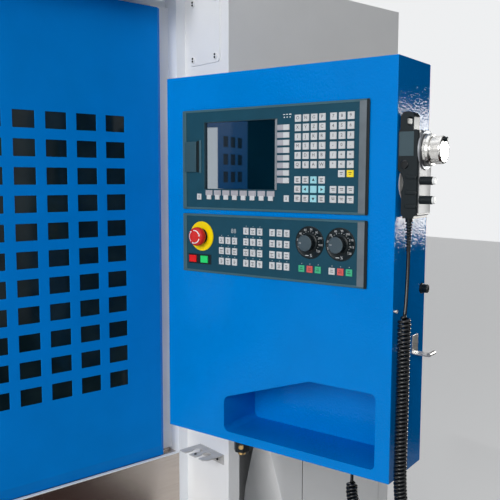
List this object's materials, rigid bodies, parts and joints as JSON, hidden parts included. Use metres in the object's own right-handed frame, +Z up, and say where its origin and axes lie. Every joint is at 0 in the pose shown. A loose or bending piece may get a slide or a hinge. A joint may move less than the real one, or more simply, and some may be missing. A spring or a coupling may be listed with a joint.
{
  "type": "vertical machining center",
  "caption": "Vertical milling machine with a sheet-metal enclosure, a sliding perforated door, a swinging control cabinet, a hand pendant on a curly cord and an umbrella tool magazine.",
  "frame": {"origin": "on the floor, in the middle of the width and depth", "axes": "+X to the operator's right, +Y from the front door towards the column, +Z up"},
  "size_m": [2.2, 2.5119, 2.36],
  "materials": {
    "white_paint": "smooth light grey paint",
    "blue_paint": "glossy blue paint with a fine orange-peel",
    "door_paint": "satin blue paint",
    "cast_paint": "painted casting",
    "bright_steel": "ground steel",
    "brushed_stainless": "brushed stainless",
    "motor_paint": "black paint",
    "slate_plastic": "dark blue-grey, satin",
    "key_plastic": "light grey keys",
    "screen": "glossy dark display",
    "black_rubber": "black, satin",
    "red_plastic": "red",
    "green_plastic": "green",
    "yellow_plastic": "yellow",
    "window_pane": "tinted safety pane",
    "black_plastic": "black, satin"
  },
  "bodies": {
    "frame": {"bed": "cast_paint", "levelling_feet": "bright_steel", "column": "cast_paint", "y_rails": "bright_steel", "z_rails": "bright_steel", "y_motor": "motor_paint", "z_motor": "motor_paint", "chip_tray": "brushed_stainless", "left_panel": "white_paint", "right_panel": "white_paint", "front_frame": "white_paint", "apron": "brushed_stainless", "rail_cover": "white_paint", "control_housing": "white_paint", "lower_housing": "white_paint", "service_cover": "white_paint", "access_plate": "white_paint", "gun_bracket": "brushed_stainless", "swing_bracket": "white_paint", "rear_cabinet": "white_paint", "magazine_bracket": "cast_paint", "coolant_tank": "white_paint"},
    "rear_door_leaf": {"rear_door": "white_paint"},
    "saddle_unit": {"saddle": "cast_paint", "x_rails": "bright_steel", "x_motor": "motor_paint"},
    "work_table": {"table": "bright_steel"},
    "head_unit": {"spindle_head": "white_paint", "spindle_motor": "motor_paint", "drive_belt": "black_rubber", "head_cover": "white_paint"},
    "spindle_rotor": {"spindle": "bright_steel"},
    "motor_rotor": {"motor_pulley": "bright_steel"},
    "x_screw_shaft": {"x_screw": "bright_steel"},
    "y_screw_shaft": {"y_screw": "bright_steel"},
    "z_screw_shaft": {"z_screw": "bright_steel"},
    "magazine_unit": {"magazine_carriage": "cast_paint"},
    "carousel_wheel": {"carousel": "bright_steel", "tool_holders": "bright_steel"},
    "door_leaf": {"door": "door_paint", "door_window": "window_pane", "door_handle": "white_paint"},
    "control_cabinet": {"cabinet_shell": "blue_paint", "cabinet_cover": "blue_paint", "operator_panel": "slate_plastic", "display": "screen", "machine_panel": "slate_plastic", "panel_keys": "key_plastic", "estop_collar": "yellow_plastic", "pendant": "black_plastic", "cord": "black_rubber", "cord_fittings": "brushed_stainless"},
    "estop_head": {"estop_button": "red_plastic"},
    "stop_cap": {"stop_button": "red_plastic"},
    "start_cap": {"start_button": "green_plastic"},
    "feed_dial": {"feed_knob": "slate_plastic"},
    "speed_dial": {"spindle_knob": "slate_plastic"},
    "hand_wheel": {"handwheel": "bright_steel"},
    "axis_selector": {"axis_knob": "black_plastic"},
    "step_selector": {"step_knob": "black_plastic"}
  },
  "joints": [
    {"name": "saddle_slide", "type": "slide", "parent": "frame", "child": "saddle_unit", "axis": [0, 1, 0], "range_m": [-0.2, 0.2]},
    {"name": "table_slide", "type": "slide", "parent": "saddle_unit", "child": "work_table", "axis": [1, 0, 0], "range_m": [-0.325, 0.325]},
    {"name": "head_slide", "type": "slide", "parent": "frame", "child": "head_unit", "axis": [0, 0, 1], "range_m": [-0.45, 0.05]},
    {"name": "spindle_spin", "type": "hinge", "parent": "head_unit", "child": "spindle_rotor", "pos_m": [0, 0.1, 1.5], "axis": [0, 0, 1], "continuous": true},
    {"name": "motor_spin", "type": "hinge", "parent": "head_unit", "child": "motor_rotor", "pos_m": [0, 0.33, 1.96], "axis": [0, 0, 1], "continuous": true},
    {"name": "x_screw_spin", "type": "hinge", "parent": "saddle_unit", "child": "x_screw_shaft", "pos_m": [0, 0.1, 0.668], "axis": [1, 0, 0], "continuous": true},
    {"name": "y_screw_spin", "type": "hinge", "parent": "frame", "child": "y_screw_shaft", "pos_m": [0, 0.1, 0.556], "axis": [0, 1, 0], "continuous": true},
    {"name": "z_screw_spin", "type": "hinge", "parent": "frame", "child": "z_screw_shaft", "pos_m": [0, 0.62, 1.5], "axis": [0, 0, 1], "continuous": true},
    {"name": "magazine_slide", "type": "slide", "parent": "frame", "child": "magazine_unit", "axis": [1, 0, 0], "range_m": [0, 0.35]},
    {"name": "carousel_spin", "type": "hinge", "parent": "magazine_unit", "child": "carousel_wheel", "pos_m": [-0.65, 0.1, 1.4], "axis": [0, 0, 1], "continuous": true},
    {"name": "door_slide", "type": "slide", "parent": "frame", "child": "door_leaf", "axis": [1, 0, 0], "range_m": [-0.58, 0.04]},
    {"name": "rear_door_hinge", "type": "hinge", "parent": "frame", "child": "rear_door_leaf", "pos_m": [1.072, 1.233, 0.9], "axis": [0, 0, -1], "range_deg": [0, 110]},
    {"name": "cabinet_swing", "type": "hinge", "parent": "frame", "child": "control_cabinet", "pos_m": [0.438, -0.701, 1.3], "axis": [0, 0, 1], "range_deg": [-13.57, 76.43]},
    {"name": "estop_push", "type": "slide", "parent": "control_cabinet", "child": "estop_head", "axis": [0.9721, 0.2346, 0], "range_m": [0, 0.006]},
    {"name": "stop_push", "type": "slide", "parent": "control_cabinet", "child": "stop_cap", "axis": [0.9721, 0.2346, 0], "range_m": [0, 0.003], "stiffness_N_per_m": 500},
    {"name": "start_push", "type": "slide", "parent": "control_cabinet", "child": "start_cap", "axis": [0.9721, 0.2346, 0], "range_m": [0, 0.003], "stiffness_N_per_m": 500},
    {"name": "feed_dial_turn", "type": "hinge", "parent": "control_cabinet", "child": "feed_dial", "pos_m": [0.32594, -1.02946, 1.4025], "axis": [-0.9721, -0.2346, 0], "range_deg": [-140, 140]},
    {"name": "speed_dial_turn", "type": "hinge", "parent": "control_cabinet", "child": "speed_dial", "pos_m": [0.34089, -1.09138, 1.4025], "axis": [-0.9721, -0.2346, 0], "range_deg": [-110, 110]},
    {"name": "handwheel_spin", "type": "hinge", "parent": "control_cabinet", "child": "hand_wheel", "pos_m": [0.40857, -1.21835, 1.5675], "axis": [0.2346, -0.9721, 0], "continuous": true},
    {"name": "axis_knob_turn", "type": "hinge", "parent": "control_cabinet", "child": "axis_selector", "pos_m": [0.38912, -1.22304, 1.5164], "axis": [0.2346, -0.9721, 0], "range_deg": [-60, 60]},
    {"name": "step_knob_turn", "type": "hinge", "parent": "control_cabinet", "child": "step_selector", "pos_m": [0.38912, -1.22304, 1.4844], "axis": [0.2346, -0.9721, 0], "range_deg": [-45, 45]}
  ],
  "couplings": [
    {"joint": "motor_spin", "follows": "spindle_spin", "ratio": 1.3636},
    {"joint": "x_screw_spin", "follows": "table_slide", "rad_per_m": 628.32},
    {"joint": "y_screw_spin", "follows": "saddle_slide", "rad_per_m": 628.32},
    {"joint": "z_screw_spin", "follows": "head_slide", "rad_per_m": 628.32}
  ]
}
